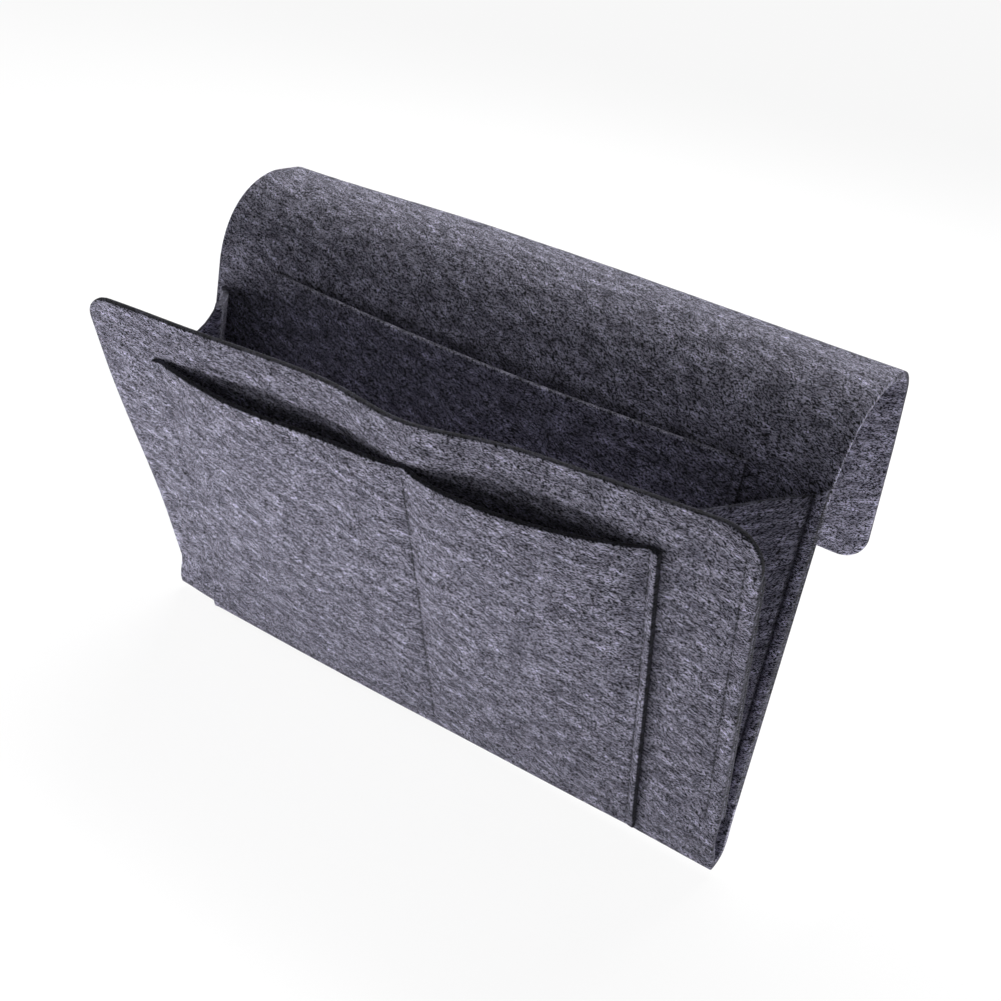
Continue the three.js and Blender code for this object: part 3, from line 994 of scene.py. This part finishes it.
# The gussets: each half is a flange, a fold along the seam, a leaf and half of the crease
def gusset_half(side_name, side, is_rear):
    a = float(open_angle(side * FOLD_X))
    apex = np.array((side * FOLD_X, FOLD_Y, FOLD_Z))
    rear_line, front_line = np.array((0, 0, 1.0)), np.array((0, -math.sin(a), math.cos(a)))
    tilt = math.acos(math.cos(LEAF_ANGLE) / math.cos(a / 2))
    crease = unit(rear_line + front_line) * math.cos(tilt)
    crease[0] = -side * math.sin(tilt)
    along = rear_line if is_rear else front_line
    across = unit(crease - along * crease.dot(along))
    beyond = across * math.cos(LEAF_ANGLE) - along * math.sin(LEAF_ANGLE)
    flange_n = np.array((0, 1.0, 0)) if is_rear else np.array((0, -math.cos(a), -math.sin(a)))
    leaf_n = np.cross(across, along)
    leaf_n = leaf_n * np.sign(leaf_n.dot(flange_n))
    fold = math.acos(leaf_n.dot(flange_n))
    length = SEAM_HIGH - SEAM_LOW
    g = spaced(0, length, step=GUSSET_STEP) / length
    cap_r = FELT if is_rear else FELT - CREASE_EASE
    slip = FOLD_SLIP if is_rear else 0.0
    outer_drop, hinge_drop, crease_drop, sharpness = GUSSET_TOPS[side_name, is_rear]
    hollow, convex, uv, edge = [], [], [], []
    ends = np.minimum(g, 1 - g) * length
    u_start, s_start = GUSSET_AT + GUSSET_RIGHT_AT * (side > 0), GUSSET_REAR_AT * is_rear

    def lines(f, drop):
        """Points a share f of the way from the seam line to the crease, on a column cut down by drop."""
        part = g * (1 - drop / length)
        seam_line = apex + along * (SEAM_LOW + part * length)[:, None]
        crease_line = apex + crease * (CREASE_LOW + part * (CREASE_HIGH - CREASE_LOW))[:, None]
        base = seam_line * (1 - f) + crease_line * f
        base[:, 0] += side * slip * (1 - f) ** 3
        pull = hem_pull(side * (FOLD_X + FLANGE / 2), SEAM_LOW + part * length)
        base[:, 1] += pull * (CREASE_PULL * f if is_rear else 1 - CREASE_PULL * f)
        return base, SEAM_LOW + part * length

    def add(near, far, u, s, d):
        hollow.append(near)
        convex.append(far)
        uv.append(np.column_stack([np.full(len(g), u_start + u), s_start + s]))
        edge.append(d)

    wide = FLANGE - slip
    for q in spaced(0, wide - FLANGE_END, step=FLANGE_STEP, seams=(HALF - SEAM_X,), high_cut=False):
        base, s = lines(0, hinge_drop + (outer_drop - hinge_drop) * (1 - q / wide))
        base = base + np.array((side, 0, 0)) * (wide - q)
        add(base, base + FELT * flange_n, q, s, np.minimum(q, ends))
    for t in np.linspace(0, 1, FOLD_COLUMNS):
        turned = unit(flange_n * math.sin((1 - t) * fold) + leaf_n * math.sin(t * fold))
        base, s = lines(0, hinge_drop)
        add(base + FOLD_HOLLOW * turned, base + FELT * turned, wide + t * fold * FELT / 2, s, ends)
    for f in LEAF_SHARES:
        base, s = lines(f, hinge_drop + (crease_drop - hinge_drop) * f**sharpness)
        where = np.full(len(g), SWAY_ACROSS * f + SWAY_APART * side)
        sway = LEAF_SWAY * noise(where, s, LEAF_SWAY_SIZE, seed=31 + is_rear)
        sway = sway * (4 * f * (1 - f)) ** SWAY_POWER
        base = base + leaf_n * sway[:, None]
        add(base, base + FELT * leaf_n, wide + LEAF_START + LEAF_WIDTH * f, s, ends)
    crease_at = wide + LEAF_START + LEAF_WIDTH
    for t in np.linspace(0, 1, CREASE_COLUMNS):
        turn = t * CREASE_TURN
        turned = leaf_n * math.cos(turn) + beyond * math.sin(turn)
        base, s = lines(1, crease_drop)
        add(base + CREASE_HOLLOW * turned, base + cap_r * turned, crease_at + CREASE_WIDTH * t, s, ends)
    hollow, convex, uv, edge = (np.array(v) for v in (hollow, convex, uv, edge))
    q, s = uv[..., 0] - u_start, uv[..., 1] - s_start
    # The pressed line's depth also paints shade into the felt, and a welt beside it a painted highlight
    if is_rear:
        sewn = REAR_PRESS * hump(q, wide + REAR_PRESS_AT, REAR_PRESS_WIDTH)
        sewn = sewn - REAR_WELT * hump(q, REAR_WELT_AT, REAR_WELT_WIDTH)
    else:
        sewn = groove(q, s, HALF - SEAM_X, SEAM_LOW, SEAM_HIGH - FLANGE_SEAM_SHORT)
    place, panel = ("rear", "back") if is_rear else ("front", "front")
    name = f"gusset_{side_name}_{place}_half"
    # Painted shade on the gusset half's cut edges
    piece = felt_sheet(name, hollow, convex, uv, edge, (sewn, 0 * sewn), (0.7, None, 0.7, 0.5))
    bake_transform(piece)
    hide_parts(f"gusset_{side_name}_{place}_flange", f"gusset_{side_name}_{place}_leaf")


# Sewing
def stitch_row(name, node, body, runs):
    """Separate stitches along sewn lines; a run is (place, x, low, high, n, side the thread shows on)."""
    points, faces, coords = [], [], []
    rings, around = STITCH_RINGS, STITCH_SIDES
    wide, tall = THREAD_ROUND / around, STITCH_LENGTH / (rings - 1)
    draw = np.random.default_rng(sum(ord(c) for c in name))
    for place, x, low, high, n, shown in runs:
        count = int((high - low - STITCH_LENGTH) / STITCH_PITCH) + 1
        for k in range(count):
            start = low + k * STITCH_PITCH + draw.uniform(*STITCH_JITTER)
            slant = draw.uniform(*STITCH_SLANT)
            sink = draw.uniform(*STITCH_SINK)
            base = len(points)
            for r in range(rings):
                t = r / (rings - 1)
                end = abs(2 * t - 1)
                s = start + t * STITCH_LENGTH
                lift = shown * (STITCH_PROUD + sink - GROOVE * STITCH_SUNK - STITCH_END_DIP * end**3)
                lift = lift - BURIED * (x < 0 and shown > 0)
                px = x + slant * (t - 0.5)
                centre = place(np.array(px), np.array(s), np.array(n + lift))
                up = unit(place(np.array(px), np.array(s), np.array(n + lift + 1.0)) - centre)
                radius = THREAD_R * (1 - STITCH_END_THIN * end**6)
                for c in range(around):
                    turn = 2 * math.pi * c / around
                    out = math.cos(turn) * np.array((1.0, 0, 0)) + math.sin(turn) * up
                    points.append(centre + radius * out)
            for r in range(rings - 1):
                for c in range(around):
                    d = (c + 1) % around
                    near, far = base + r * around, base + (r + 1) * around
                    faces.append([near + c, near + d, far + d, far + c])
                    for cc, rr in ((c, r), (c + 1, r), (c + 1, r + 1), (c, r + 1)):
                        coords.append((cc * wide, start + rr * tall))
            for r, order in ((0, range(around - 1, -1, -1)), (rings - 1, range(around))):
                faces.append([base + r * around + c for c in order])
                coords.extend((c * THREAD_END[0], start + r * THREAD_END[1]) for c in order)
    piece = new_piece(name, new_mesh(name, points, faces, coords), thread)
    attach(piece, body)
    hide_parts(node)


strip_front()
strip_back()
strip_tail()
pocket_front()
pocket_inner()
for side_name, side in (("left", -1), ("right", 1)):
    gusset_half(side_name, side, True)
    gusset_half(side_name, side, False)
    stitch_row(f"stitches_front_{side_name}", f"front_stitch_{side_name}", "front", [
        (on_front, side * SEAM_X, SEAM_LOW, SEAM_HIGH, PANEL_OUT, 1),
        (on_front, side * SEAM_X, SEAM_LOW, SEAM_HIGH - FRONT_SEAM_SHORT, 0.0, -1),
    ])
    stitch_row(f"stitches_rear_{side_name}", f"rear_stitch_{side_name}", "back", [
        (on_back, side * SEAM_X, *REAR_SEAM, REAR_SEAM_OUT, 1),
        (on_back, side * SEAM_X, *REAR_SEAM, 0.0, -1),
    ])
    low = INNER_LOW + SEAM_FOOT
    stitch_row(f"stitches_inner_{side_name}", f"inner_stitch_{side_name}", "back", [
        (on_back, side * INNER_SEAM, low, INNER_HIGH - SEAM_MOUTH, 2 * FELT + GAP, 1),
        (on_back, side * INNER_SEAM, low, INNER_HIGH - INNER_SEAM_SHORT, 0.0, -1),
    ])
for place, seam in zip(("left", "centre", "right"), POCKET_SEAMS):
    low, high = float(pocket_low(seam)) + SEAM_FOOT, POCKET_HIGH - SEAM_MOUTH
    stitch_row(f"stitches_pocket_{place}", f"pocket_stitch_{place}", "front", [
        (on_pocket, seam, low, high, PANEL_OUT + FELT + GAP, 1),
        (on_pocket, seam, low + POCKET_SEAM_SHORT, high, PANEL_IN, -1),
    ])


# Floor, light and camera
def seen_rays(tree):
    """1 for rays by which a thing is seen, straight or in a mirror, and 0 for those that light it."""
    path = add_node(tree, "ShaderNodeLightPath")
    rays = math_node(tree, "MAXIMUM", path.outputs["Is Camera Ray"], path.outputs["Is Glossy Ray"])
    return math_node(tree, "MAXIMUM", rays, path.outputs["Is Transmission Ray"])


def make_floor():
    material, tree, shader = new_material("pale_floor")
    shader.inputs["Base Color"].default_value = (0.85, 0.85, 0.86, 1)
    shader.inputs["Roughness"].default_value = 0.9
    shader.inputs["Specular IOR Level"].default_value = 0.1
    glow = add_node(tree, "ShaderNodeEmission", {"Color": (1, 1, 1, 1), "Strength": 0.92})
    dim = add_node(tree, "ShaderNodeBsdfDiffuse", {"Color": (0.12, 0.12, 0.12, 1)})
    seen = add_node(tree, "ShaderNodeAddShader", {0: glow.outputs[0], 1: dim.outputs[0]})
    rays = seen_rays(tree)
    choice = add_node(tree, "ShaderNodeMixShader", {0: rays, 1: shader.outputs[0], 2: seen.outputs[0]})
    tree.links.new(choice.outputs[0], tree.nodes["Material Output"].inputs["Surface"])
    bpy.ops.mesh.primitive_plane_add(size=FLOOR_SIZE, location=(0, 0, FLOOR_Z))
    floor = bpy.context.object
    floor.name = "floor"
    floor.data.materials.append(material)


def make_world(level):
    world = bpy.data.worlds.new("studio")
    world.use_nodes = True
    tree = world.node_tree
    shader = tree.nodes["Background"]
    shader.inputs["Color"].default_value = (0.96, 0.97, 1.0, 1)
    strength = remap(tree, seen_rays(tree), 0, 1, out_low=level, smooth=False)
    tree.links.new(strength, shader.inputs["Strength"])
    bpy.context.scene.world = world


def make_lamp(name, place, target, size, power):
    data = bpy.data.lights.new(name, "AREA")
    data.shape = "RECTANGLE"
    data.size, data.size_y = size
    data.energy = power
    lamp = bpy.data.objects.new(name, data)
    lamp.visible_camera = False
    bpy.context.collection.objects.link(lamp)
    lamp.location = place
    lamp.rotation_euler = (Vector(target) - Vector(place)).to_track_quat("-Z", "Y").to_euler()


make_floor()
make_world(level=0.1)
make_lamp("top_lamp", place=(-0.25, 0.9, 1.1), target=(0, 0, 0), size=(1.4, 1.0), power=24)
make_lamp("front_lamp", place=(-1.15, -1.43, -0.05), target=(0, -0.03, -0.02), size=(0.9, 0.14), power=3.4)
make_lamp("low_lamp", place=(-0.2, -0.27, -0.078), target=(-0.08, -0.03, -0.2), size=(0.25, 0.04), power=0.33)
make_lamp("fill_lamp", place=(0.04, -0.27, -0.078), target=(0.04, -0.03, -0.2), size=(0.3, 0.04), power=0.23)
make_lamp("side_lamp", place=(0.24, 0.055, -0.085), target=(0.13, 0.075, 0.02), size=(0.05, 0.03), power=0.21)

camera_data = bpy.data.cameras.new("camera")
camera_data.lens = 50.78
camera_data.sensor_width = 36
camera_data.clip_start = 0.01
camera = bpy.data.objects.new("camera", camera_data)
bpy.context.collection.objects.link(camera)
camera.matrix_world = Matrix((
    (0.8180191, -0.36938704, 0.44090584, 0.29604),
    (0.54954706, 0.27558095, -0.78870347, -0.49966),
    (0.16983159, 0.88747302, 0.42842605, 0.28819),
    (0, 0, 0, 1),
))
bpy.context.scene.camera = camera
bpy.context.scene.view_settings.view_transform = "Standard"

bpy.context.view_layer.update()
